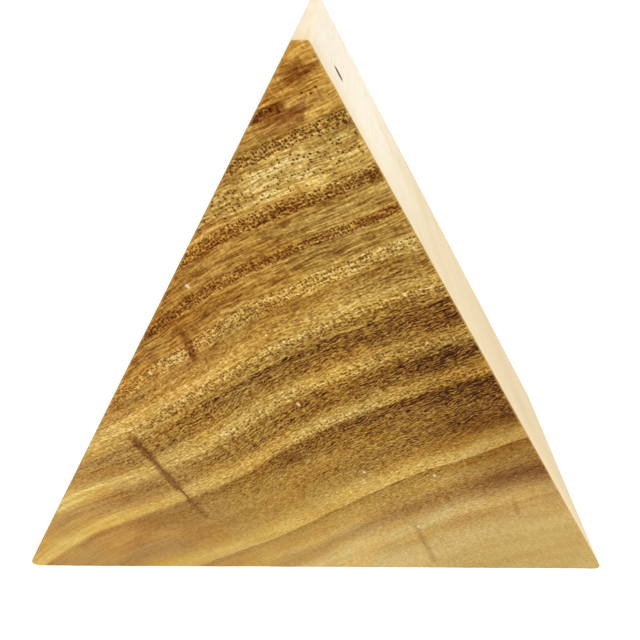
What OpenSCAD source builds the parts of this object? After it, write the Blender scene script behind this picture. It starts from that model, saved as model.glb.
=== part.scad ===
// Triangular wooden block: a length of hardwood sawn to an equilateral section, lying on one of its
// three side faces. The origin is at the middle of the base. +Z is up to the ridge, +X runs along
// the base and +Y runs along the grain, from the front end face to the back one.

/* [Block] */
// Side of the triangular end face, between its sharp corners
face_w = 90; // [70:1:140]
// Length along the grain, from the front end face to the back one
grain_l = 35; // [20:1:80]
// Width of the flat that is left along the ridge
ridge_w = 1.4; // [0.8:0.1:4]
// Rounding of the two long edges at the base
base_edge_r = 0.6; // [0.3:0.1:3]

/* [Drying checks] */
// Greatest width of a check in the front end face
check_w = 0.5; // [0.2:0.05:1]
// Depth that a check runs in from the end face
check_depth = 2.5; // [0.5:0.5:6]
// Length of the long check, which lies in the left half
long_check_l = 18; // [8:1:20]
// Length of the short check, which lies in the right half
short_check_l = 9; // [4:1:10]

/* [Pin knot] */
// Diameter of the knot where it meets the side face
knot_d = 1.3; // [1:0.1:3]
// Diameter of its inner end
knot_tip_d = 0.7; // [0.5:0.1:0.9]
// Length of the knot along its axis
knot_l = 9; // [4:0.5:10]
// Lean of its axis from the side face's normal, down towards the base
knot_lean = 15; // [0:1:45]
// Distance of the knot from the front end face
knot_y = 8; // [3:0.5:15]
// Distance of the knot down the side face from the block's sharp top corner
knot_down = 6.1; // [5:0.1:20]

/* [Hidden] */

$fn = 64;

corner_angle = 60;
sharp_h = face_w * sin(corner_angle);
ridge_h = (face_w - ridge_w) * sin(corner_angle);
front_y = -grain_l / 2;
// Run of a rounding along each of the two faces that meet at its edge
edge_run = base_edge_r / tan(corner_angle / 2);

// Middle of each check in the end face, as fractions of the face's width from the base's middle
long_check_at = [-0.21, 0.247];
short_check_at = [0.183, 0.078];
// Both checks follow the wood's rays, which fan out from a pith below the base on the right
long_check_angle = 112;
short_check_angle = 110;

// A point on the right side face, at a given distance down the slope from the sharp top corner
function on_right_face(down) = [down * cos(corner_angle), sharp_h - down * sin(corner_angle)];

module end_outline() {
    polygon([
        [-face_w / 2 + edge_run * cos(corner_angle), edge_run * sin(corner_angle)],
        [-face_w / 2 + edge_run, 0],
        [face_w / 2 - edge_run, 0],
        [face_w / 2 - edge_run * cos(corner_angle), edge_run * sin(corner_angle)],
        [ridge_w / 2, ridge_h],
        [-ridge_w / 2, ridge_h]
    ]);
    for (side = [-1, 1])
        translate([side * (face_w / 2 - edge_run), base_edge_r]) circle(r = base_edge_r);
}

module sawn_prism() {
    translate([0, front_y + grain_l, 0]) rotate([90, 0, 0]) linear_extrude(grain_l) end_outline();
}

// A check is a thin lens in the end face: widest at its middle and closed at both ends
module drying_check(at, angle, l) {
    translate([at[0] * face_w, front_y + check_depth, at[1] * face_w])
        rotate([90, 0, 0])
            linear_extrude(check_depth + 1)
                rotate(angle)
                    polygon([[-l / 2, 0], [0, -check_w / 2], [l / 2, 0], [0, check_w / 2]]);
}

// The knot's taper, run on past the side face so that it crosses it cleanly
module knot_taper(run_out) {
    at = on_right_face(knot_down);
    taper = (knot_d - knot_tip_d) / knot_l;
    inward = 180 + corner_angle / 2 + knot_lean;
    translate([at[0], front_y + knot_y, at[1]])
        rotate([0, 90 - inward, 0])
            translate([0, 0, -run_out])
                cylinder(h = knot_l + run_out, d1 = knot_d + taper * run_out, d2 = knot_tip_d);
}

module block() {
    color("peru") difference() {
        sawn_prism();
        knot_taper(knot_d);
        drying_check(long_check_at, long_check_angle, long_check_l);
        drying_check(short_check_at, short_check_angle, short_check_l);
    }
}

module pin_knot() {
    color("saddlebrown") intersection() {
        sawn_prism();
        knot_taper(knot_d);
    }
}

block();
pin_knot();
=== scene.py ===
import math

import bmesh
import bpy
import numpy as np
from mathutils import Matrix, Vector
from mathutils.geometry import delaunay_2d_cdt


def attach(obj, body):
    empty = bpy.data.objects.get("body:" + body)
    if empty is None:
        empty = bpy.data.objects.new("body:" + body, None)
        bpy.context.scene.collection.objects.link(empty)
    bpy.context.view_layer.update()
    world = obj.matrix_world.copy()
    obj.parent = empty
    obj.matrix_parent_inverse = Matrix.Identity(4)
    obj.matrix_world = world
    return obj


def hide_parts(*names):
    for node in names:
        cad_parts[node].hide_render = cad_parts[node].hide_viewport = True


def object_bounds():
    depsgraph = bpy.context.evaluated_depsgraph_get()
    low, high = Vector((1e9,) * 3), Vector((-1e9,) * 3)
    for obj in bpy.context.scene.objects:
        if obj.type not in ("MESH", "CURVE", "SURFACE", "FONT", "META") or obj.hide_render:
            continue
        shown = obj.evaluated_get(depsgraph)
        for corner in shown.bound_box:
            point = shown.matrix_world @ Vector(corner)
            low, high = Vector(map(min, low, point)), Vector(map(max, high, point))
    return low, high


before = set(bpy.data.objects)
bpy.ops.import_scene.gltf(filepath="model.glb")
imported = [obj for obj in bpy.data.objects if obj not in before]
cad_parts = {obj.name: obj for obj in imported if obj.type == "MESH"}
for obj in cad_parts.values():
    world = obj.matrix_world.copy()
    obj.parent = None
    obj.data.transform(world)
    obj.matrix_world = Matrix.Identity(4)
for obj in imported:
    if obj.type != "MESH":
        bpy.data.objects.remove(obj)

CAD_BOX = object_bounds()
MM = 0.001
SEED = 20
# The triangle's corners are all of 60 degrees
CORNER_ANGLE = math.radians(60)

# ---- The block's shape, in mm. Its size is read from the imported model, and these only ease its edges
# and wear its faces.
CAD_EDGE_ROUNDING = 0.6
LEFT_EDGE_ROUNDING = 1.0
RIGHT_EDGE_ROUNDING = 0.65
RIDGE_ROUNDING = 0.28
ARRIS_MEAN = 0.2
ARRIS_MIN = 0.1
ARRIS_MAX = 0.48
# How much the arrises' size varies, and over what distance
ARRIS_WAVES = [(0.14, 6.0), (0.10, 1.3)]
# Small nicks in each end arris: how many, then the least and greatest of their half width and depth
NICKS = 16
NICK_WIDTH = (0.3, 1.0)
NICK_DEPTH = (0.08, 0.30)
RING_RELIEF = 0.045
FACE_WAVE = 0.03
SAW_DEPTH = 0.012
PLANER_PITCH = 1.7
PLANER_DEPTH = 0.01
# How finely the block is meshed, in mm and in counts
MESH_STEP = 0.42
ARC_STEP = 0.16
ARRIS_SEGMENTS = 3
CAP_MARGIN = 0.64
RIM_FADE = 2.0
DEPTH_ROWS = 44
# The block's material slots
END_SLOT, SIDE_SLOT, WALL_SLOT = 0, 1, 2
SHARP_ANGLE = math.radians(50)

# ---- The drying checks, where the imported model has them: middle as (x, z), direction, length, width
# and depth, in mm. They are shallower than its slots.
LONG_CHECK = ((-18.9, 22.2), math.radians(112), 16.5, 0.66, 0.16)
SHORT_CHECK = ((16.5, 7.0), math.radians(110), 8.4, 0.18, 0.07)
CHECK_STATIONS = 48
# Depths of a check's wall points, as shares of its depth. The first one is in mm, outside the face.
CHECK_LEVELS = [-0.4, 0.0, 0.35, 0.7, 1.0]
CHECK_DRIFT = 0.14

# ---- The knot, in mm
SEAT_CLEARANCE = 0.03
SEAT_POINTS = 48
KNOT_POINTS = 72
KNOT_SKIN_RINGS = 22
KNOT_WOBBLE = 0.05
KNOT_SEED = SEED + 61
# Where the rings of its end and the groove inside its bark lie, as shares of its radius
KNOT_END_SHARES = (0.97, 0.9, 0.8, 0.7, 0.6, 0.5, 0.4, 0.3, 0.2, 0.1, 0.03)
BARK_GROOVE_AT = 0.86

# ---- The growth rings. Distances are in mm. A ring starts with pale, porous earlywood and ends with
# dark latewood. RING_TILT turns the rings' radius away from upright, towards the left.
# The face's places are stretched and slanted a little first, and RING_CENTRE_Z is then distance 0.
RING_TILT = math.radians(31)
RING_CENTRE_Z = 31.45
RING_STRETCH = 1.018
RING_SLANT = 0.012
# start, earlywood width, tones from the earlywood to the latewood
RINGS = [
    (-54.0, 4.0, (0.92, 0.90, 0.86)),
    (-41.2, 5.5, (0.88, 0.90, 0.85, 0.80)),
    (-26.9, 2.0, (0.88, 0.74, 0.57, 0.70, 0.74, 0.60)),
    (-14.8, 1.8, (0.90, 0.62, 0.51, 0.55, 0.46, 0.38)),
    (-0.5, 1.6, (0.82, 0.52, 0.42, 0.58)),
    (5.8, 1.5, (0.84, 0.50, 0.42, 0.62)),
    (12.9, 2.4, (0.84, 0.67, 0.56)),
    (18.3, 1.9, (0.80, 0.42, 0.56)),
    (23.1, 1.0, (0.56, 0.53, 0.54, 0.46)),
    (27.3, 4.6, (0.75, 0.66)),
    (32.9, 1.3, (0.64, 0.68, 0.64)),
    (36.1, 1.2, (0.64, 0.58)),
]
# Rows of earlywood pores: start, width and share of the cells in the rows that are pores
PORE_ROWS = [
    (-14.6, 1.0, 0.12),
    (-0.3, 1.0, 0.65),
    (6.0, 1.1, 0.7),
    (13.0, 1.3, 0.85),
    (18.5, 1.7, 0.75),
    (23.2, 1.0, 0.95),
    (27.3, 1.3, 1.0),
    (29.3, 3.2, 0.20),
    (33.1, 1.1, 1.0),
    (36.2, 0.8, 0.8),
]
LAST_RING_WIDTH = 7.0
RING_EDGE = 0.15
PORE_EDGE = 0.12
WIDE_PORE_PITCH = 0.40
FINE_PORE_PITCH = 0.31
# A colour ramp holds few steps, so each list is read over several ramps that meet at these distances
BAND_SPLITS = [-60.0, -14.7, 12.0, 45.0]
PORE_SPLITS = [-18.0, 15.0, 45.0]


def ring_bend(out, along, sin):
    """How far a ring bows outwards, in mm, at a place along it. Works on numbers, arrays and sockets."""
    t = along * 0.025
    t2 = t * t
    fan = (t2 - t) * 1.1
    return t * 0.9 - t2 * 1.1 + t2 * t * 0.7 + fan * out * (1 / 30) + sin(t * 4.8 + 0.65) * 1.1


def ring_place(x, z, sin):
    """Distance out along the rings' radius, with the bow taken off, and distance along the rings, in mm."""
    across = x * RING_STRETCH
    up = z * RING_STRETCH + x * RING_SLANT - RING_CENTRE_Z
    out = up * math.cos(RING_TILT) - across * math.sin(RING_TILT)
    along = across * math.cos(RING_TILT) + up * math.sin(RING_TILT)
    return out - ring_bend(out, along, sin), along


def band_stops():
    """Tone against distance out, as (distance, tone)."""
    stops = []
    for number, (start, width, tones) in enumerate(RINGS):
        end = RINGS[number + 1][0] if number + 1 < len(RINGS) else start + LAST_RING_WIDTH
        rest = end - RING_EDGE - start - width
        stops.append((start + 0.25 * width, tones[0]))
        stops.append((start + width, tones[0]))
        later = tones[1:]
        for step, tone in enumerate(later, 1):
            stops.append((start + width + rest * step / len(later), tone))
    return stops


def pore_stops():
    """Share of cells that are pores against distance out, as (distance, share)."""
    stops = []
    for start, width, share in PORE_ROWS:
        stops.append((start - PORE_EDGE, 0.0))
        stops.append((start, share))
        stops.append((start + width, share * 0.7))
        stops.append((start + width + PORE_EDGE, 0.0))
    return stops


# ---- Small helpers for numpy patterns
NOISE_GRID = 512
NOISE_MIDDLE = 128
# How many points are measured against the outline at a time
BATCH = 4000


def ease_in_out(share):
    """A smooth step from 0 to 1 for a share from 0 to 1."""
    return share * share * (3 - 2 * share)


def value_noise(a, b, cell_a, cell_b, seed):
    """Smooth noise from 0 to 1 over a plane, from seeded random values on a grid."""
    grid = np.random.default_rng(seed).random((NOISE_GRID, NOISE_GRID))
    places = np.array([a / cell_a, b / cell_b]) + NOISE_MIDDLE
    low = np.floor(places).astype(int)
    share_a, share_b = ease_in_out(places - low)
    low_a, low_b = low % NOISE_GRID
    high_a, high_b = (low + 1) % NOISE_GRID
    first = grid[low_a, low_b] * (1 - share_a) + grid[high_a, low_b] * share_a
    second = grid[low_a, high_b] * (1 - share_a) + grid[high_a, high_b] * share_a
    return first * (1 - share_b) + second * share_b


def softness(x, z):
    """The ring's tone, which is higher for soft earlywood, because that wears lower."""
    out, _ = ring_place(x, z, np.sin)
    stops = band_stops()
    return np.interp(out, [stop[0] for stop in stops], [stop[1] for stop in stops])


# ---- The block's mesh
def block_corners():
    """The end face's corners and how far each is rounded, in mm, anticlockwise seen from the front."""
    low, high = CAD_BOX
    trimmed = (math.sqrt(3) - 1) * CAD_EDGE_ROUNDING
    half = (high.x - low.x) / (2 * MM) + trimmed
    top = (high.z - low.z) / MM
    ridge = half - top / math.tan(CORNER_ANGLE)
    return [
        ((-half, 0.0), LEFT_EDGE_ROUNDING),
        ((half, 0.0), RIGHT_EDGE_ROUNDING),
        ((ridge, top), RIDGE_ROUNDING),
        ((-ridge, top), RIDGE_ROUNDING),
    ]


def side_direction(corners, i):
    """Direction of the side that leaves corner i."""
    here = np.array(corners[i % len(corners)][0])
    after = np.array(corners[(i + 1) % len(corners)][0])
    return (after - here) / np.linalg.norm(after - here)


def corner_turn(corners, i):
    """The angle that the outline turns at corner i, and how far its rounding reaches along a side."""
    turn = math.acos(float(side_direction(corners, i - 1) @ side_direction(corners, i)))
    return turn, corners[i % len(corners)][1] * math.tan(turn / 2)


def rounded_outline(corners):
    """Points round a polygon with rounded corners, and the outward normal at each."""
    points, normals = [], []
    for i, (here, radius) in enumerate(corners):
        before, side = side_direction(corners, i - 1), side_direction(corners, i)
        turn, run = corner_turn(corners, i)
        first_normal = np.array([before[1], -before[0]])
        centre = np.array(here) - before * run - first_normal * radius
        first = math.atan2(first_normal[1], first_normal[0])
        pieces = max(3, round(radius * turn / ARC_STEP))
        for k in range(pieces + 1):
            a = first + turn * k / pieces
            normal = np.array([math.cos(a), math.sin(a)])
            points.append(centre + normal * radius)
            normals.append(normal)
        _, next_run = corner_turn(corners, i + 1)
        stop = np.array(corners[(i + 1) % len(corners)][0]) - side * next_run
        start = points[-1]
        steps = max(2, round(np.linalg.norm(stop - start) / MESH_STEP))
        for k in range(1, steps):
            points.append(start + (stop - start) * k / steps)
            normals.append(np.array([side[1], -side[0]]))
    return np.array(points), np.array(normals)


def arris_size(outline, seed):
    """How far each point's end arris is eased: uneven, with a few small nicks."""
    gaps = np.linalg.norm(np.roll(outline, -1, axis=0) - outline, axis=1)
    way = np.concatenate([[0.0], np.cumsum(gaps)[:-1]])
    total = gaps.sum()
    ease = ARRIS_MEAN
    for number, (amount, span) in enumerate(ARRIS_WAVES):
        ease = ease + amount * (value_noise(way, way * 0, span, 1.0, seed + number) - 0.5)
    rng = np.random.default_rng(seed + 2)
    for _ in range(NICKS):
        middle = rng.random() * total
        width = NICK_WIDTH[0] + (NICK_WIDTH[1] - NICK_WIDTH[0]) * rng.random()
        depth = NICK_DEPTH[0] + (NICK_DEPTH[1] - NICK_DEPTH[0]) * rng.random()
        gap = np.abs(way - middle)
        gap = np.minimum(gap, total - gap)
        ease = ease + depth * np.exp(-((gap / width) ** 2))
    return np.clip(ease, ARRIS_MIN, ARRIS_MAX)


def rim_distance(points, outline):
    """Distance in mm from each point to the nearest point of the outline."""
    parts = []
    for start in range(0, len(points), BATCH):
        away = points[start:start + BATCH, None, :] - outline[None, :, :]
        parts.append(np.sqrt((away ** 2).sum(axis=2)).min(axis=1))
    return np.concatenate(parts)


def cap_grid(outline, normals):
    """Inside points of an end face, on a grid of triangles that keeps clear of the arris."""
    low, high = outline.min(axis=0), outline.max(axis=0)
    rows = np.arange(low[1] + CAP_MARGIN, high[1] - CAP_MARGIN, MESH_STEP * math.sqrt(3) / 2)
    found = []
    for number, z in enumerate(rows):
        xs = np.arange(low[0], high[0], MESH_STEP) + 0.5 * MESH_STEP * (number % 2)
        found.append(np.column_stack([xs, np.full(len(xs), z)]))
    points = np.concatenate(found)
    limits = (outline * normals).sum(axis=1)
    for normal, limit in zip(normals, limits):
        points = points[points @ normal < limit]
    return points[rim_distance(points, outline) > CAP_MARGIN]


def cap_mesh(rim, inside):
    """Triangles that join the rim and the inside points, all anticlockwise seen from the front."""
    together = [Vector(p) for p in np.concatenate([rim, inside])]
    _, _, faces, origin, _, _ = delaunay_2d_cdt(together, [], [list(range(len(rim)))], 1, 1e-7)
    order = [ids[0] for ids in origin]
    triangles = np.array([[order[i] for i in face] for face in faces])
    flat = np.concatenate([rim, inside])
    a, b, c = (flat[triangles[:, k]] for k in range(3))
    area = (b[:, 0] - a[:, 0]) * (c[:, 1] - a[:, 1]) - (b[:, 1] - a[:, 1]) * (c[:, 0] - a[:, 0])
    triangles[area < 0] = triangles[area < 0][:, ::-1]
    return triangles


def end_relief(points, outline, seed):
    """How far an end face lies below its plane, in mm: worn earlywood, broad waves and saw lines, all
    of which fade out towards the rim."""
    x, z = points[:, 0], points[:, 1]
    worn = RING_RELIEF * softness(x, z)
    wave = FACE_WAVE * value_noise(x, z, 11.0, 9.0, seed)
    saw = SAW_DEPTH * value_noise(x + 0.2 * z, z, 0.9, 30.0, seed + 5)
    from_rim = rim_distance(points, outline[::2]) - CAP_MARGIN
    return (worn + wave + saw) * ease_in_out(np.clip(from_rim / RIM_FADE, 0, 1))


def wall_relief(outline, y, seed):
    """How far a side face lies below its plane, in mm, for each outline point at one depth."""
    x, z = outline[:, 0], outline[:, 1]
    worn = 0.5 * RING_RELIEF * softness(x, z)
    ripple = PLANER_DEPTH * (0.5 + 0.5 * math.sin(2 * math.pi * y / PLANER_PITCH))
    wave = FACE_WAVE * value_noise(x + z, np.full(len(x), y), 9.0, 14.0, seed)
    return worn + ripple + wave


def wall_loops(ease_front, ease_back):
    """Loops from front to back, each as its inset, its depth and its share of the side faces' wear."""
    front, back = CAD_BOX[0].y / MM, CAD_BOX[1].y / MM
    angles = [0.5 * math.pi * k / ARRIS_SEGMENTS for k in range(ARRIS_SEGMENTS + 1)]
    loops = []
    for a in angles:
        depth = front + ease_front * (1 - math.cos(a))
        loops.append((ease_front * (1 - math.sin(a)), depth, math.sin(a)))
    for k in range(1, DEPTH_ROWS):
        share = k / DEPTH_ROWS
        depth = (front + ease_front) * (1 - share) + (back - ease_back) * share
        loops.append((np.zeros(len(depth)), depth, 1.0))
    for a in reversed(angles):
        depth = back - ease_back * (1 - math.cos(a))
        loops.append((ease_back * (1 - math.sin(a)), depth, math.sin(a)))
    return loops


def wall_points(outline, normals, loops):
    """The points of the side faces and arrises, worn by the side faces' relief."""
    found = []
    for inset, depth, weight in loops:
        inset = inset + weight * wall_relief(outline, float(np.mean(depth)), SEED + 20)
        ring = outline - normals * inset[:, None]
        found.append(np.column_stack([ring[:, 0], depth, ring[:, 1]]))
    return np.concatenate(found)


def faces_between(count, rows):
    """Faces between neighbouring loops of points, row after row."""
    faces = []
    for here in range(0, rows * count, count):
        for i in range(count):
            j = (i + 1) % count
            faces.append([here + i, here + count + i, here + count + j, here + j])
    return faces


def cap_faces(rim, inside, first_rim, first_inside):
    """An end face's triangles, with each corner's place in the whole mesh."""
    count = len(rim)
    faces = []
    for triangle in cap_mesh(rim, inside):
        faces.append([int(first_rim + v if v < count else first_inside + v - count) for v in triangle])
    return faces


def block_mesh(materials):
    """The sawn block as one closed mesh, with eased arrises and worn faces."""
    front, back = CAD_BOX[0].y / MM, CAD_BOX[1].y / MM
    outline, normals = rounded_outline(block_corners())
    ease_front = arris_size(outline, SEED)
    ease_back = arris_size(outline, SEED + 10)
    loops = wall_loops(ease_front, ease_back)
    walls = wall_points(outline, normals, loops)
    inside = cap_grid(outline, normals)
    front_depth = front + end_relief(inside, outline, SEED + 30)
    back_depth = back - end_relief(inside, outline, SEED + 40)
    front_inside = np.column_stack([inside[:, 0], front_depth, inside[:, 1]])
    back_inside = np.column_stack([inside[:, 0], back_depth, inside[:, 1]])
    points = np.concatenate([walls, front_inside, back_inside]) * MM

    last = len(loops) - 1
    faces = faces_between(len(outline), last)
    front_rim = outline - normals * ease_front[:, None]
    back_rim = outline - normals * ease_back[:, None]
    faces = faces + cap_faces(front_rim, inside, 0, len(walls))
    back_faces = cap_faces(back_rim, inside, last * len(outline), len(walls) + len(inside))
    faces = faces + [face[::-1] for face in back_faces]
    slots = [END_SLOT] * len(faces)
    side_rows = slice(ARRIS_SEGMENTS * len(outline), (last - ARRIS_SEGMENTS) * len(outline))
    slots[side_rows] = [SIDE_SLOT] * (side_rows.stop - side_rows.start)

    mesh = bpy.data.meshes.new("timber_block")
    mesh.from_pydata(points.tolist(), [], faces)
    for material in materials:
        mesh.materials.append(material)
    mesh.polygons.foreach_set("material_index", slots)
    mesh.update()
    return mesh


# ---- Cutters for the drying checks and the knot's seat
def scene_object(name, data):
    """A new object in the scene that holds a mesh, a lamp or a camera."""
    thing = bpy.data.objects.new(name, data)
    bpy.context.scene.collection.objects.link(thing)
    return thing


def closed_loops(name, loops, materials, slot):
    """A mesh through a row of loops with the same number of points, closed at both ends."""
    count = len(loops[0])
    points = [tuple(c * MM for c in p) for loop in loops for p in loop]
    faces = [list(reversed(range(count)))]
    for a, b, c, d in faces_between(count, len(loops) - 1):
        faces.append([a, d, c, b])
    faces.append(list(range((len(loops) - 1) * count, len(loops) * count)))
    mesh = bpy.data.meshes.new(name)
    mesh.from_pydata(points, [], faces)
    for material in materials:
        mesh.materials.append(material)
    mesh.polygons.foreach_set("material_index", [slot] * len(faces))
    tidy = bmesh.new()
    tidy.from_mesh(mesh)
    bmesh.ops.recalc_face_normals(tidy, faces=tidy.faces)
    tidy.to_mesh(mesh)
    tidy.free()
    return mesh


def check_cutter(name, check, seed, materials):
    """A crack that wanders a little, narrows towards both ends and closes up with depth."""
    middle, angle, length, width, depth = check
    front = CAD_BOX[0].y / MM
    along = np.array([math.cos(angle), math.sin(angle)])
    across = np.array([-along[1], along[0]])
    rng = np.random.default_rng(seed)
    drift = np.cumsum(rng.normal(0, 1, CHECK_STATIONS))
    drift = drift - np.linspace(drift[0], drift[-1], CHECK_STATIONS)
    drift = CHECK_DRIFT * drift / np.abs(drift).max()
    loops = []
    for k in range(CHECK_STATIONS):
        share = k / (CHECK_STATIONS - 1)
        open_here = math.sin(math.pi * (0.02 + 0.96 * share)) ** 0.7 * (0.75 + 0.4 * rng.random())
        half = 0.5 * width * min(1.0, open_here)
        centre = np.array(middle) + along * length * (share - 0.5) + across * drift[k]
        sides = []
        for sign, order in ((-1, CHECK_LEVELS), (1, CHECK_LEVELS[::-1])):
            for level in order:
                thin = half * (1 - 0.85 * max(0.0, level) ** 0.8)
                place = centre + across * sign * thin
                deep = front + (level if level < 0 else level * depth * min(1.0, 0.35 + open_here))
                sides.append((place[0], deep, place[1]))
        loops.append(sides)
    return scene_object(name, closed_loops(name, loops, materials, WALL_SLOT))


class Knot:
    """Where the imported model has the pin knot: its two ends, its axis and its radii, in mm."""

    def __init__(self):
        (half, _), _ = block_corners()[1]
        points = np.array([v.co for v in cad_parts["pin_knot"].data.vertices]) / MM
        points = np.unique(np.round(points, 4), axis=0)
        self.face_normal = np.array([math.sin(CORNER_ANGLE), 0.0, math.cos(CORNER_ANGLE)])
        self.face_at = half * self.face_normal[0]
        # The outer end lies in the side face, and the inner end's points are the deepest ones
        inside = self.face_at - points @ self.face_normal
        outer = points[inside < 0.02]
        inner = points[inside > inside.max() - 0.8]
        self.outer = (outer.max(axis=0) + outer.min(axis=0)) / 2
        self.inner = (inner.max(axis=0) + inner.min(axis=0)) / 2
        self.length = float(np.linalg.norm(self.outer - self.inner))
        self.axis = (self.outer - self.inner) / self.length
        self.outer_r = float(outer[:, 1].max() - outer[:, 1].min()) / 2
        self.inner_r = float(inner[:, 1].max() - inner[:, 1].min()) / 2
        self.up = np.array([0.0, 1.0, 0.0])
        self.right = np.cross(self.up, self.axis)

    def radius_at(self, along):
        """The knot's radius at a distance from the inner end."""
        return self.inner_r + (self.outer_r - self.inner_r) / self.length * along

    def ring(self, along, radius, count, wobble=0.0, seed=0):
        """Points round the axis at a distance from the inner end, on a slightly uneven circle."""
        phase = np.random.default_rng(seed).random(2) * 2 * math.pi
        found = []
        for i in range(count):
            a = 2 * math.pi * i / count
            waves = 0.25 * math.sin(3 * a + phase[0]) + 0.25 * math.sin(5 * a + phase[1])
            spoke = self.right * math.cos(a) + self.up * math.sin(a)
            uneven_radius = radius * (1 - wobble * (0.5 + waves))
            found.append(self.inner + self.axis * along + spoke * uneven_radius)
        return np.array(found)

    def on_face(self, points, below=0.0):
        """The points moved along the axis to a depth below the side face."""
        gap = self.face_at - below - points @ self.face_normal
        return points + np.outer(gap / float(self.axis @ self.face_normal), self.axis)


def knot_seat_cutter(knot, materials):
    """The hole that the knot sits in, run on past the side face."""
    loops = [knot.ring(-SEAT_CLEARANCE, knot.inner_r + SEAT_CLEARANCE, SEAT_POINTS)]
    for along in (2.0, 4.0, 6.0, knot.length, knot.length + 2.0):
        loops.append(knot.ring(along, knot.radius_at(along) + SEAT_CLEARANCE, SEAT_POINTS))
    return scene_object("knot_seat", closed_loops("knot_seat", loops, materials, WALL_SLOT))


def knot_end_depth(share, turn):
    """How far the knot's end lies below the side face: dished, cracked, with a groove at the bark."""
    dish = 0.05 + 0.05 * (1 - share)
    bark = 0.05 * math.exp(-((share - BARK_GROOVE_AT) / 0.06) ** 2)
    cracks = np.exp(-(np.sin(1.5 * turn + 0.4) / 0.12) ** 2) * min(1.0, 2.2 * share) * (share < 0.85)
    grain = 0.012 * np.sin(26 * share + 2 * np.sin(turn * 2))
    return dish + bark + 0.14 * cracks + grain


def knot_mesh(knot, material):
    """The dead twig: a tapered peg with a rough skin and a dry, dished and cracked end."""
    def ring(along, radius, wobble=KNOT_WOBBLE):
        return knot.ring(along, radius, KNOT_POINTS, wobble, KNOT_SEED)

    inner_gap = 0.05
    skin_length = knot.length - 1.2
    loops = [ring(inner_gap, knot.inner_r * share, 0.04) for share in (0.25, 0.6, 0.9, 1.0)]
    for number in range(1, KNOT_SKIN_RINGS):
        along = inner_gap + skin_length * number / KNOT_SKIN_RINGS
        loops.append(ring(along, knot.radius_at(along)))
    loops.append(knot.on_face(ring(knot.length, knot.outer_r * 0.985), 0.08))
    turn = np.arange(KNOT_POINTS) * 2 * math.pi / KNOT_POINTS
    for share in KNOT_END_SHARES:
        flat_ring = knot.on_face(ring(knot.length, knot.outer_r * share))
        loops.append(flat_ring - np.outer(knot_end_depth(share, turn), knot.face_normal))
    return closed_loops("knot", loops, [material], 0)


# ---- Node graphs that read as formulas
class Value:
    """One output in a material's node graph."""

    def __init__(self, graph, socket):
        self.graph = graph
        self.socket = socket

    def __add__(self, other):
        return self.graph.math("ADD", self, other)

    def __radd__(self, other):
        return self.graph.math("ADD", other, self)

    def __sub__(self, other):
        return self.graph.math("SUBTRACT", self, other)

    def __rsub__(self, other):
        return self.graph.math("SUBTRACT", other, self)

    def __mul__(self, other):
        return self.graph.math("MULTIPLY", self, other)

    def __rmul__(self, other):
        return self.graph.math("MULTIPLY", other, self)

    def clamp(self):
        return self.graph.math("ADD", self, 0.0, clamp=True)

    def above(self, limit):
        return self.graph.math("GREATER_THAN", self, limit)

    def below(self, limit):
        return self.graph.math("LESS_THAN", self, limit)

    def at_most(self, other):
        return self.graph.math("MINIMUM", self, other)

    def at_least(self, other):
        return self.graph.math("MAXIMUM", self, other)

    def sin(self):
        return self.graph.math("SINE", self)


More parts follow.
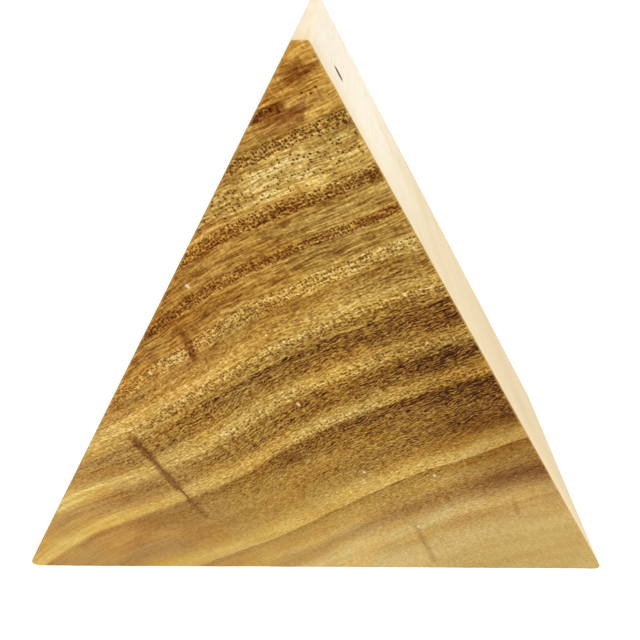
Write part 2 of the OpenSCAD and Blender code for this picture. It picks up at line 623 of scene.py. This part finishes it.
class Graph:
    """A material's node graph, ending in one Principled shader."""

    def __init__(self, name):
        self.material = bpy.data.materials.new(name)
        self.material.use_nodes = True
        self.nodes = self.material.node_tree.nodes
        self.links = self.material.node_tree.links
        self.shader = self.nodes["Principled BSDF"]

    def put(self, socket, value):
        """Joins a Value to an input, or sets the input to a number or a tuple."""
        if isinstance(value, Value):
            self.links.new(value.socket, socket)
        else:
            socket.default_value = value

    def node(self, kind, **settings):
        made = self.nodes.new("ShaderNode" + kind)
        for name, value in settings.items():
            setattr(made, name, value)
        return made

    def math(self, operation, *values, clamp=False):
        made = self.node("Math", operation=operation, use_clamp=clamp)
        for socket, value in zip(made.inputs, values):
            self.put(socket, value)
        return Value(self, made.outputs[0])

    def vector(self, operation, first, second):
        made = self.node("VectorMath", operation=operation)
        self.put(made.inputs[0], first)
        self.put(made.inputs[1], second)
        scalar = operation in ("DOT_PRODUCT", "DISTANCE")
        return Value(self, made.outputs["Value" if scalar else "Vector"])

    def join(self, x, y, z):
        made = self.node("CombineXYZ")
        for socket, value in zip(made.inputs, (x, y, z)):
            self.put(socket, value)
        return Value(self, made.outputs[0])

    def split(self, vector):
        made = self.node("SeparateXYZ")
        self.put(made.inputs[0], vector)
        return [Value(self, output) for output in made.outputs]

    def place(self):
        """The shaded point in the block's own frame, in mm."""
        made = self.node("TexCoord")
        return self.vector("MULTIPLY", Value(self, made.outputs["Object"]), (1 / MM, 1 / MM, 1 / MM))

    def noise(self, at, scale=1.0, detail=2.0, roughness=0.5):
        """Smooth noise around 0.5."""
        made = self.node("TexNoise")
        self.put(made.inputs["Vector"], at)
        made.inputs["Scale"].default_value = scale
        made.inputs["Detail"].default_value = detail
        made.inputs["Roughness"].default_value = roughness
        return Value(self, made.outputs[0])

    def cells(self, at, randomness=0.8):
        """Distance from the nearest cell's middle, and two random numbers for that cell."""
        made = self.node("TexVoronoi", voronoi_dimensions="2D")
        self.put(made.inputs["Vector"], at)
        made.inputs["Scale"].default_value = 1.0
        made.inputs["Randomness"].default_value = randomness
        red, green, _ = self.split(Value(self, made.outputs["Color"]))
        return Value(self, made.outputs["Distance"]), red, green

    def ease(self, value, low, high, start=0.0, end=1.0):
        """A smooth step from start to end as value goes from low to high."""
        made = self.node("MapRange", interpolation_type="SMOOTHSTEP")
        for socket, number in zip(made.inputs, (value, low, high, start, end)):
            self.put(socket, number)
        return Value(self, made.outputs[0])

    def fade(self, value, low, high):
        """A smooth step from 1 to 0 as value goes from low to high."""
        return self.ease(value, low, high, 1.0, 0.0)

    def band(self, value, rise, full, fall, gone):
        """Rises from 0 to 1 as value goes from rise to full, and falls back from fall to gone."""
        return self.ease(value, rise, full) * self.fade(value, fall, gone)

    def ramp(self, value, low, high, stops):
        """A colour for each value from low to high, through stops of (value, colour)."""
        made = self.node("ValToRGB")
        points = made.color_ramp.elements
        while len(points) < len(stops):
            points.new(0.5)
        for point, (at, colour) in zip(points, stops):
            point.position = (at - low) / (high - low)
            point.color = (*colour, 1.0)
        share = (value - low) * (1 / (high - low))
        self.put(made.inputs[0], share)
        return Value(self, made.outputs[0])

    def blend(self, share, first, second):
        """From the first colour to the second as share goes from 0 to 1."""
        made = self.node("Mix", data_type="RGBA", clamp_factor=True)
        self.put(made.inputs[0], share)
        for socket, value in ((made.inputs[6], first), (made.inputs[7], second)):
            self.put(socket, value if isinstance(value, Value) else (*value, 1.0))
        return Value(self, made.outputs[2])

    def tint(self, share, colour, factors):
        """The colour, with a share of it multiplied by the factors."""
        return self.blend(share, colour, self.vector("MULTIPLY", colour, factors))

    def near_line(self, at, start, end):
        """Distance in mm from a line drawn on the front face between two (x, z) points."""
        step = (end[0] - start[0], 0.0, end[1] - start[1])
        length2 = step[0] ** 2 + step[2] ** 2
        away = self.vector("SUBTRACT", at, (start[0], 0.0, start[1]))
        share = (self.vector("DOT_PRODUCT", away, step) * (1 / length2)).clamp()
        nearest = self.vector("MULTIPLY", self.join(share, share, share), step)
        return self.vector("DISTANCE", away, nearest)

    def finish(self, colour, roughness, height, depth, specular=0.3):
        """Joins the colour, the roughness and a bump of a given depth in mm to the shader."""
        self.put(self.shader.inputs["Base Color"], colour)
        self.put(self.shader.inputs["Roughness"], roughness)
        self.shader.inputs["Specular IOR Level"].default_value = specular
        bump = self.node("Bump")
        bump.inputs["Strength"].default_value = 1.0
        bump.inputs["Distance"].default_value = depth * MM
        self.put(bump.inputs["Height"], height)
        self.put(self.shader.inputs["Normal"], Value(self, bump.outputs[0]))
        return self.material


# ---- Wood
# Linear colours from the darkest latewood to the palest earlywood, each with its tone
TONES = [
    (-0.2, (0.026, 0.0075, 0.002)),
    (0.0, (0.066, 0.0210, 0.004)),
    (0.2, (0.118, 0.046, 0.007)),
    (0.4, (0.180, 0.086, 0.013)),
    (0.6, (0.256, 0.143, 0.027)),
    (0.8, (0.338, 0.212, 0.054)),
    (1.0, (0.440, 0.312, 0.122)),
    (1.2, (0.560, 0.460, 0.270)),
]
PORE_BROWN = (0.060, 0.010, 0.001)
PORE_BLACK = (0.018, 0.007, 0.002)
# The next colour is a painted highlight along the end faces' eased edges
ARRIS_HIGHLIGHT_TAN = (0.360, 0.215, 0.060)
FLECK_CREAM = (0.50, 0.42, 0.29)
# What the end grain's colour is multiplied by in places
WARM = (1.02, 0.96, 0.88)
COOL = (0.98, 1.03, 1.22)
YELLOW = (1.0, 0.95, 0.62)
BLEACHED = (1.0, 1.07, 1.24)
DULL = (1.0, 0.95, 1.30)
PALE_OLIVE = (1.0, 1.06, 1.20)
RUDDY = (0.96, 0.74, 0.55)
STAIN = (0.44, 0.26, 0.16)
SHARP_STAIN = (0.58, 0.44, 0.42)
# Marks on the front face, in mm: from one (x, z) point to another, how far the mark reaches to each
# side, and its strength. The first two run along the long check and the third along the short one.
STAIN_LINES = [
    ((-22.3, 30.6), (-18.2, 20.4), 0.95, 0.85),
    ((-18.2, 20.4), (-15.4, 13.6), 0.9, 0.40),
    ((14.4, 12.2), (18.4, 2.2), 0.8, 0.32),
    ((-13.3, 47.5), (-12.7, 44.3), 0.9, 0.95),
    ((-4.2, 70.5), (-1.8, 71.8), 0.6, 0.9),
    ((27.5, 18.4), (28.9, 14.9), 0.5, 0.3),
]
RIDGE_BLOT = ((-0.7, 74.1), (0.1, 74.4))
MIDDLE_SMUDGE = ((-3.2, 27.0), (-2.0, 27.3))
TAN_PATCH = ((-4.0, 65.0), (-1.5, 66.5))
FLECKS = [(-12.0, 54.0), (-18.0, 42.0), (-1.5, 37.0), (6.7, 24.2), (16.0, 23.6), (15.0, 11.6)]
FLECK_RUN = (0.15, -0.25)
# Linear colours of planed long grain, paler at the top as painted light, and those of the stain round the
# knot and of the front arris, a line of painted arris light and shade
SIDE_LOW = (0.395, 0.300, 0.158)
SIDE_MIDDLE = (0.422, 0.336, 0.190)
# The next colour is a painted highlight, for the strong light at the top of the side face
SIDE_TOP_HIGHLIGHT = (0.490, 0.435, 0.335)
SIDE_WARM = (0.460, 0.360, 0.200)
SIDE_RIDGE_TINT = (1.10, 1.05, 0.97)
BARK_STAIN = (0.10, 0.05, 0.025)
# The next colour is painted arris light and shade along the side face's front edge
SIDE_ARRIS_LIGHT_AND_SHADE = (0.36, 0.25, 0.11)
# Height up the side face, in mm, and the colour there, paler towards the top as painted light, with a
# painted highlight at the top
SIDE_COLOURS_AND_PAINTED_LIGHT = [(22.0, SIDE_LOW), (38.0, SIDE_MIDDLE), (55.0, SIDE_MIDDLE), (65.0, SIDE_TOP_HIGHLIGHT)]


def edge_distance(g, at):
    """Distance in mm from the nearest of the three side faces."""
    (half, _), _ = block_corners()[1]
    across, rise = math.sin(CORNER_ANGLE), math.cos(CORNER_ANGLE)
    right = half * across - g.vector("DOT_PRODUCT", at, (across, 0.0, rise))
    left = half * across - g.vector("DOT_PRODUCT", at, (-across, 0.0, rise))
    return right.at_most(left).at_most(g.split(at)[2])


def wood_rings(g, at):
    """Distance out and along the rings, in mm, with the wood's own small waves."""
    grain = g.vector("MULTIPLY", at, (1.0, 0.04, 1.0))
    x, _, z = g.split(at)
    out, along = ring_place(x, z, lambda value: value.sin())
    broad = (g.noise(grain, 0.07, 1.0) - 0.5) * 1.4
    small = (g.noise(grain, 0.30, 1.0) - 0.5) * 0.5
    lift = g.ease(along, 14.0, 25.0, 0.0, 1.3) * g.band(out, -24.0, -16.0, -12.0, -4.0)
    return out + broad + small - lift, along, grain


def along_ramps(g, out, splits, stops):
    """A grey level read from stops of (distance, level), over several ramps side by side."""
    level = None
    for low, high in zip(splits, splits[1:]):
        within = [(at, (grey, grey, grey)) for at, grey in stops if low <= at <= high]
        part = g.ramp(out, low, high, within)
        level = part if level is None else g.blend(out.above(low), level, part)
    return g.split(level)[0]


class EndFace:
    """Where the shaded point lies on an end face, in mm, and how the wood is there."""

    def __init__(self, g):
        self.g = g
        self.at = g.place()
        self.x, self.y, self.z = g.split(self.at)
        self.flat = g.join(self.x, 0.0, self.z)
        self.out, self.along, self.grain = wood_rings(g, self.at)
        self.upper = g.ease(self.out, 15.5, 20.0)
        self.crisp = crispness(g, self)
        self.ring_tone, self.pores = ring_levels(g, self)
        self.cell = self.noise(3.0, 3.4, 4.0, roughness=0.8)
        # One of the upper pore rows is made of short dashes, and the others there run together
        self.dashed = g.band(self.out, 29.4, 30.0, 32.5, 32.9)
        self.high_rows = g.ease(self.out, 20.4, 22.0) * (1.0 - self.dashed)
        self.bleached = g.fade(self.out, -34.0, -27.0) * g.ease(self.along, -12.0, 12.0)

    def noise(self, per_along, per_out, layer, detail=1.0, roughness=0.5):
        """Noise around 0.5, with its fineness along and across the rings. Each layer is different."""
        at = self.g.join(self.along * per_along, layer, self.out * per_out)
        return self.g.noise(at, 1.0, detail, roughness)


def crispness(g, face):
    """How sharp the grain is: blurred near the base, in the left corner and low on the right."""
    crisp = g.ease(face.z, 2.0, 34.0, 0.20, 1.0) * g.ease(face.along, -42.0, -12.0, 0.45, 1.0)
    low_right = g.ease(face.along, 8.0, 20.0) * g.fade(face.out, -12.0, -3.0)
    return crisp * (1.0 - low_right * 0.55)


def ring_levels(g, face):
    """Tone and share of pores from the lists of rings, whose edges are made ragged."""
    feather = g.ease(face.out, -14.7, -13.2, 0.25, 1.5) * g.ease(face.out, -12.0, -8.0, 1.0, 0.34)
    ragged = face.out + (face.noise(2.0, 0.6, 0.0) - 0.5) * feather
    tone = along_ramps(g, ragged, BAND_SPLITS, band_stops())
    pores = along_ramps(g, ragged, PORE_SPLITS, pore_stops())
    filled_corner = g.ease(face.along + face.out * 0.9, -9.5, 0.0)
    last_row_end = g.ease(face.out, 35.0, 35.8) * g.ease(face.along, 18.0, 21.0)
    return tone, pores * filled_corner * (1.0 - last_row_end * 0.85)


def broad_tone(g, face):
    """The rings' tone with the slow changes across the face, and its darker and paler places."""
    out, along, tone = face.out, face.along, face.ring_tone
    to_right = g.ease(along, -50.0, 32.0, -0.75, 1.0)
    tone = tone - (1.05 - tone) * to_right * g.ease(out, 12.0, 24.0, 0.40, -0.1)
    dark_right = g.ease(along, 10.0, 22.0) * g.band(out, -29.0, -22.0, 8.0, 12.0)
    dim_row_end = g.ease(along, 12.0, 22.0) * g.band(out, 13.8, 15.2, 16.8, 18.0)
    tone = tone - dark_right * 0.18 - dim_row_end * 0.16
    left_corner = g.fade(along, -38.0, -28.0) * g.ease(out, -5.0, -2.0)
    pale_middle = g.band(out, -12.0, -7.0, -4.5, -2.0) * g.band(along, -18.0, -8.0, -3.0, 4.0)
    tone = tone + left_corner * 0.09 + pale_middle * 0.12
    low_left = g.fade(out, -19.0, -17.0) * g.fade(along, -9.0, 6.0)
    under_ridge = g.ease(face.z, 75.2, 76.0)
    tan_patch = g.fade(g.near_line(face.flat, *TAN_PATCH), 0.5, 3.0)
    tone = tone + low_left * 0.12 + under_ridge * 0.10 + tan_patch * 0.12
    flush = face.noise(0.03, 1.0, 0.0, 2.0, 0.6)
    stria = face.noise(0.09, 1.7, 5.0, 3.0, 0.75)
    patch = face.noise(0.09, 0.30, 6.0, 3.0, 0.6)
    tone = tone + (flush - 0.5) * g.ease(out, -22.0, 20.0, 0.10, 0.26)
    tone = tone + (stria - 0.5) * g.ease(out, -16.0, 20.0, 0.15, 1.3)
    return tone + (patch - 0.5) * g.ease(out, -34.0, -26.0, 0.2, 0.5)


def wavy_latewood(g, face):
    """Latewood's short wavy bands, below 0 in a dark one and above 0 in a light one."""
    across = face.out - face.along * 0.20
    bend = face.noise(0.50, 0.7, 2.0, 2.0, 0.6) * 2.2
    line = ((across + bend) * 14.5).sin()
    blot = g.noise(g.join(face.along * 0.50, 7.0, across * 1.8), 1.0, 2.0, 0.6)
    return line * g.ease(blot, 0.38, 0.60, 0.9, 0.35) + (blot - 0.5) * 3.0


def fine_tone(g, face, tone):
    """The tone with the latewood's waves, the rays, and fine dashes, threads and cells."""
    crisp, pores, upper = face.crisp, face.pores, face.upper
    wave_depth = (0.95 - tone).at_least(0.05) * 0.50 * crisp * (1.0 - upper * 0.75)
    tone = tone + wavy_latewood(g, face) * wave_depth
    ray = face.noise(4.2, 0.35, 3.0)
    tone = tone + (ray - 0.5) * (0.36 + pores * 0.3) * crisp.at_least(0.5)
    dash = g.ease(face.noise(1.2, 4.0, 1.0, roughness=0.8), 0.33, 0.67)
    thread = g.ease(face.noise(0.45, 4.2, 9.0, roughness=0.8), 0.33, 0.67)
    tone = tone + (dash + (thread - dash) * upper - 0.5) * (0.04 + crisp * 0.43)
    return tone + (face.cell - 0.5) * (0.20 + crisp * (0.6 + pores * (0.3 + upper)))


def pore_holes(g, face, pitch):
    """Holes on a loose grid, in a share of its cells. Also the distance to the nearest cell's middle."""
    bend = (face.cell - 0.5) * 1.2
    at = g.join(face.along * (1 / pitch) + bend, face.out * (1 / pitch) + 50.0, 0.0)
    far, pick, girth = g.cells(at, 0.8)
    hole = g.ease(far - girth * 0.14, 0.07, 0.44, 1.0, 0.0)
    return hole * pick.below(face.pores), far


def pores_and_rims(g, face):
    """How much of a pore the point is, from 0 to 1, and the change in tone round the pores."""
    wide_pore, far = pore_holes(g, face, WIDE_PORE_PITCH)
    fine_pore, _ = pore_holes(g, face, FINE_PORE_PITCH)
    pore = wide_pore + (fine_pore - wide_pore) * face.out.above(17.5)
    run_together = g.ease(face.noise(1.7, 4.4, 2.0, 2.0, 0.6), 0.53, 0.64)
    most = (face.dashed * 0.5).at_least(face.pores * face.high_rows * 0.7)
    rims = face.pores * (far - 0.36) * 0.2 * face.crisp - face.pores * face.high_rows * 0.06
    return pore.at_least(run_together * most), rims


def grain_hue(g, face, tone, colour):
    """Slow changes of hue: warm and cool patches, yellow earlywood, and dull and bleached places."""
    out, along = face.out, face.along
    sound = 1.0 - face.bleached
    hue = g.ease(face.noise(0.07, 0.24, 8.0, 2.0, 0.6), 0.36, 0.64)
    warm = g.vector("MULTIPLY", colour, WARM)
    cool = g.vector("MULTIPLY", colour, COOL)
    colour = g.blend(sound * 0.9, colour, g.blend(hue, warm, cool))
    yellow = g.ease(tone, 0.6, 0.95) * g.ease(face.z - along * 0.6, 0.0, 26.0, 0.2, 1.0)
    colour = g.tint(yellow, colour, YELLOW)
    colour = g.tint(face.bleached, colour, BLEACHED)
    dull = g.fade(along, -36.0, -8.0).at_least(g.ease(out, -22.0, -15.0, 0.8, 0.0))
    colour = g.tint(dull * g.fade(tone, 0.6, 0.9), colour, DULL)
    return g.tint(g.fade(out, -22.0, -15.0) * 0.9 * sound, colour, PALE_OLIVE)


def ruddy_upper(g, face, colour):
    """Reddens the upper left side, the upper pore rows and the wood under the ridge."""
    left_side = g.ease(face.x, -15.0, 1.0, 0.9, 0.0) * g.ease(face.out, 10.0, 20.0)
    rows = face.pores * (face.high_rows * 0.6 + 0.2) * face.upper
    ruddy = left_side + rows + g.ease(face.out, 34.5, 36.0) * 0.8
    uneven = g.ease(g.noise(face.grain, 0.2, 1.0), 0.35, 0.6, 0.5, 1.0)
    return g.tint((ruddy * uneven).clamp() * 0.8, colour, RUDDY)


def filled_pores(g, face, pore, colour):
    """Darkens the pores: brown in most rows, and near black in one upper row."""
    black = g.band(face.out, 31.5, 33.0, 35.0, 36.0) * 0.7
    strength = (0.30 + 0.6 * face.crisp) * g.ease(face.out, 16.0, 23.0, 0.74, 1.0)
    return g.blend(pore * strength, colour, g.blend(black, PORE_BROWN, PORE_BLACK))


def strongest(parts):
    """The greatest of several Values."""
    total = parts[0]
    for part in parts[1:]:
        total = total.at_least(part)
    return total


def end_stains(g, face):
    """Dark marks: round both checks, a few short marks, a blot under the ridge and a faint smudge."""
    uneven = g.noise(face.grain, 0.9, 2.0)
    parts = []
    for start, end, reach, strength in STAIN_LINES:
        mark = g.ease(g.near_line(face.flat, start, end), 0.1, reach, strength, 0.0)
        parts.append(mark * (0.55 + uneven * 0.9))
    parts.append(g.fade(g.near_line(face.flat, *RIDGE_BLOT), 0.2, 1.2) * (0.4 + uneven))
    parts.append(g.fade(g.near_line(face.flat, *MIDDLE_SMUDGE), 0.2, 1.6) * 0.8 * uneven)
    return strongest(parts)


def sharp_stain(g, face):
    """A ruddy stain between two rings near the ridge, which stops at a sharp edge on its right."""
    edge = g.fade(face.x - (face.z - 70.7) * 0.1, 0.05, 0.35)
    return edge * g.band(face.out, 34.0, 34.8, 36.0, 36.6) * g.ease(face.x, -4.5, -2.0)


def end_flecks(g, face):
    """A few pale flecks of torn fibre."""
    parts = []
    for x, z in FLECKS:
        end = (x + FLECK_RUN[0], z + FLECK_RUN[1])
        parts.append(g.ease(g.near_line(face.flat, (x, z), end), 0.05, 0.24, 0.9, 0.0))
    return strongest(parts)


def front_marks(g, face, colour):
    """Adds the stains and flecks, which only the front face has."""
    front_half = face.y.below(0.0)
    colour = g.tint(end_stains(g, face) * front_half, colour, STAIN)
    colour = g.tint(sharp_stain(g, face) * front_half, colour, SHARP_STAIN)
    return g.blend(end_flecks(g, face) * front_half, colour, FLECK_CREAM)


def end_grain_material():
    """End grain: rings, earlywood pores in rows, wavy latewood, rays, checks and a few stains."""
    g = Graph("end_grain")
    face = EndFace(g)
    tone = fine_tone(g, face, broad_tone(g, face))
    pore, rims = pores_and_rims(g, face)
    tone = tone + rims
    colour = g.ramp(tone, TONES[0][0], TONES[-1][0], TONES)
    colour = grain_hue(g, face, tone, colour)
    colour = ruddy_upper(g, face, colour)
    colour = filled_pores(g, face, pore, colour)
    colour = front_marks(g, face, colour)
    # Painted highlight: a tan band along the end face's edges, where the eased arris catches the light
    ragged_highlight_edge = edge_distance(g, face.at) + (g.noise(face.grain, 1.5, 1.0) - 0.5) * 0.3
    colour = g.blend(g.ease(ragged_highlight_edge, 0.0, 0.28, 0.6, 0.0), colour, ARRIS_HIGHLIGHT_TAN)
    scratch = g.noise(g.vector("MULTIPLY", face.at, (2.6, 1.0, 0.12)), 1.0, 1.0)
    height = tone * 0.4 - pore + scratch * 0.2
    roughness = 0.72 - tone * 0.10 + (face.cell - 0.5) * 0.2
    return g.finish(colour, roughness, height, 0.06, specular=0.02)


def side_edges(g, at, z, from_front, knot, colour):
    """Adds the ridge's tint, the stain round the knot and the tan front arris, which is painted arris light
    and shade.
    """
    colour = g.tint(g.ease(z, 76.2, 76.6), colour, SIDE_RIDGE_TINT)
    from_knot = g.vector("DISTANCE", at, tuple(float(c) for c in knot.outer))
    from_knot = from_knot + (g.noise(at, 1.5, 1.0) - 0.5) * 0.4
    bark_stain = g.ease(from_knot, knot.outer_r - 0.05, knot.outer_r + 0.45, 0.75, 0.0)
    colour = g.blend(bark_stain, colour, BARK_STAIN)
    # Painted light and shade: a tan line along the front arris, between the dim end face and the bright
    # side
    ragged_painted_arris = from_front + (g.noise(at, 1.2, 1.0) - 0.5) * 0.8
    return g.blend(g.ease(ragged_painted_arris, 0.2, 0.9, 0.5, 0.0), colour, SIDE_ARRIS_LIGHT_AND_SHADE)


def side_grain_material(knot):
    """Long grain: pale, partly as painted light, and paler still towards the top as a painted highlight,
    with faint ring lines and fine vessel lines along the block's length.
    """
    g = Graph("side_grain")
    at = g.place()
    _, y, z = g.split(at)
    out, _, _ = wood_rings(g, at)
    tone = along_ramps(g, out, BAND_SPLITS, band_stops())
    pores = along_ramps(g, out, PORE_SPLITS, pore_stops())
    streak = g.noise(g.vector("MULTIPLY", at, (3.0, 0.10, 3.0)), 1.0, 3.0, 0.6)
    vessel = g.ease(g.noise(g.vector("MULTIPLY", at, (5.0, 0.16, 5.0)), 1.0, 1.0), 0.60, 0.72)
    patch = g.noise(at, 0.05, 2.0)
    fleck = g.ease(g.noise(g.vector("MULTIPLY", at, (0.7, 3.2, 0.7)), 1.0, 1.0), 0.62, 0.72)
    level = 1.0 + (tone - 0.65) * 0.05 + (streak - 0.5) * 0.16 + (patch - 0.5) * 0.10
    level = level - vessel * (0.03 + pores * 0.12) + fleck * 0.02
    from_front = y - CAD_BOX[0].y / MM
    # Painted light: the side face is paler towards the top, a painted highlight where it catches the most
    # light
    colour = g.ramp(z + (patch - 0.5) * 16.0, 0.0, 80.0, SIDE_COLOURS_AND_PAINTED_LIGHT)
    colour = g.blend(g.ease(from_front, 0.0, 8.0, 0.6, 0.0), colour, SIDE_WARM)
    # A darker streak is also a warmer one: green falls with the square and blue with the cube
    deeper = level * level
    colour = g.vector("MULTIPLY", colour, g.join(level, deeper, deeper * level))
    colour = side_edges(g, at, z, from_front, knot, colour)
    bumps = (streak - 0.5) * 0.6 - vessel * 0.6
    roughness = 0.55 + (streak - 0.5) * 0.25
    return g.finish(colour, roughness, bumps, 0.03, specular=0.1)


def shaded_check_wall_material():
    """The torn walls inside a drying check and the knot's seat, coloured dark brown as painted shade."""
    g = Graph("check_wall_painted_shade")
    at = g.place()
    torn = g.noise(g.vector("MULTIPLY", at, (4.0, 1.0, 4.0)), 1.0, 3.0, 0.6)
    # Painted shade: the walls are dark brown, darker than most of the wood round them
    colour = g.ramp(torn, 0.3, 0.7, [(0.3, (0.120, 0.050, 0.012)), (0.7, (0.200, 0.100, 0.030))])
    return g.finish(colour, 0.8 - torn * 0.1, torn, 0.05, specular=0.02)


def knot_material(knot):
    """A dead twig's end: dark rings and near-black bark."""
    g = Graph("knot_wood")
    at = g.place()
    away = g.vector("SUBTRACT", at, tuple(knot.outer))
    axis = tuple(float(c) for c in knot.axis)
    run = g.vector("DOT_PRODUCT", away, axis)
    core = g.vector("MULTIPLY", g.join(run, run, run), axis)
    radius = g.vector("DISTANCE", away, core)
    radius = radius + (g.noise(at, 1.8, 1.0) - 0.5) * 0.15
    rings = (radius * 34.0).sin() * 0.5 + 0.5
    dust = g.noise(at, 9.0, 3.0, 0.6)
    bark = g.ease(radius, knot.outer_r * 0.72, knot.outer_r * 0.9)
    level = rings * 0.35 + dust * 0.6
    colour = g.ramp(level, 0.0, 1.0, [(0.0, (0.030, 0.016, 0.012)), (1.0, (0.140, 0.080, 0.052))])
    colour = g.blend(bark * 0.85, colour, (0.022, 0.012, 0.010))
    return g.finish(colour, 0.72 + dust * 0.15, level - bark * 0.5, 0.03, specular=0.03)


# ---- Pieces
def cut(piece, cutter):
    """Takes the cutter's shape out of the piece and removes the cutter."""
    bpy.context.view_layer.objects.active = piece
    hole = piece.modifiers.new("cut", "BOOLEAN")
    hole.operation = "DIFFERENCE"
    hole.solver = "MANIFOLD"
    hole.object = cutter
    bpy.ops.object.modifier_apply(modifier=hole.name)
    bpy.data.objects.remove(cutter)


def smooth(mesh):
    """Smooth shading that breaks where two faces meet sharply."""
    mesh.polygons.foreach_set("use_smooth", [True] * len(mesh.polygons))
    mesh.set_sharp_from_angle(angle=SHARP_ANGLE)
    mesh.update()


def make_block(knot):
    """The sawn block, with its two drying checks and the knot's seat."""
    materials = [end_grain_material(), side_grain_material(knot), shaded_check_wall_material()]
    piece = scene_object("timber_block", block_mesh(materials))
    cut(piece, check_cutter("long_check", LONG_CHECK, SEED + 50, materials))
    cut(piece, check_cutter("short_check", SHORT_CHECK, SEED + 55, materials))
    cut(piece, knot_seat_cutter(knot, materials))
    smooth(piece.data)
    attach(piece, "root")
    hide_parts("block")


def make_knot(knot):
    """The pin knot, in its seat on the right side face."""
    piece = scene_object("knot", knot_mesh(knot, knot_material(knot)))
    smooth(piece.data)
    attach(piece, "root")
    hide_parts("pin_knot")


# ---- Stage, lights and camera
FLOOR_HALF_WIDTH = 3.0
FLOOR_GAP = 0.05 * MM
FLOOR_GLOW = 0.25
WORLD_STRENGTH = 1.35
LAMP_STRENGTH = 1.5
LAMP_SPREAD = math.radians(50)
LAMP_COLOUR = (1.0, 0.985, 0.96)
TO_LAMP = Vector((0.55, -0.3, 1.0))
CAMERA_PLACE = (0.0028, -0.0585, 0.083)
CAMERA_YAW = math.radians(0.1)
CAMERA_PITCH = math.radians(-32.26)
CAMERA_ROLL = math.radians(0.4)
LENS_LENGTH = 28.3
LENS_SHIFT = (-0.025, -0.094)


def make_floor():
    """A wide pale floor just under the block."""
    g = Graph("pale_floor")
    at = g.place()
    cloud = g.noise(at, 0.004, 2.0)
    colour = g.ramp(cloud, 0.3, 0.7, [(0.3, (0.88, 0.88, 0.88)), (0.7, (0.92, 0.92, 0.92))])
    g.shader.inputs["Emission Color"].default_value = (1.0, 1.0, 1.0, 1.0)
    g.shader.inputs["Emission Strength"].default_value = FLOOR_GLOW
    material = g.finish(colour, 0.9, g.noise(at, 0.8, 2.0), 0.02, specular=0.1)
    build = bmesh.new()
    bmesh.ops.create_grid(build, x_segments=40, y_segments=40, size=FLOOR_HALF_WIDTH)
    mesh = bpy.data.meshes.new("floor")
    build.to_mesh(mesh)
    build.free()
    mesh.materials.append(material)
    floor = scene_object("floor", mesh)
    floor.location.z = CAD_BOX[0].z - FLOOR_GAP


def make_light():
    """White surroundings and one broad lamp from the upper right."""
    world = bpy.data.worlds.new("studio")
    world.use_nodes = True
    background = world.node_tree.nodes["Background"]
    background.inputs["Color"].default_value = (1.0, 1.0, 1.0, 1.0)
    background.inputs["Strength"].default_value = WORLD_STRENGTH
    bpy.context.scene.world = world
    lamp = bpy.data.lights.new("window", "SUN")
    lamp.energy = LAMP_STRENGTH
    lamp.angle = LAMP_SPREAD
    lamp.color = LAMP_COLOUR
    thing = scene_object("window", lamp)
    thing.rotation_euler = TO_LAMP.to_track_quat("Z", "Y").to_euler()


def make_camera():
    """A close camera that looks down on the block from in front."""
    lens = bpy.data.cameras.new("camera")
    lens.lens = LENS_LENGTH
    lens.sensor_width = 36.0
    lens.shift_x, lens.shift_y = LENS_SHIFT
    lens.clip_start = 0.005
    lens.clip_end = 20.0
    camera = scene_object("camera", lens)
    yawed = Matrix.Rotation(-CAMERA_YAW, 3, "Z")
    pitched = yawed @ Matrix.Rotation(math.pi / 2 + CAMERA_PITCH, 3, "X")
    camera.rotation_euler = (pitched @ Matrix.Rotation(CAMERA_ROLL, 3, "Z")).to_euler()
    camera.location = CAMERA_PLACE
    bpy.context.scene.camera = camera


bpy.context.scene.view_settings.view_transform = "Standard"
bpy.context.scene.view_settings.look = "None"
make_camera()
make_floor()
make_light()
pin = Knot()
make_block(pin)
make_knot(pin)
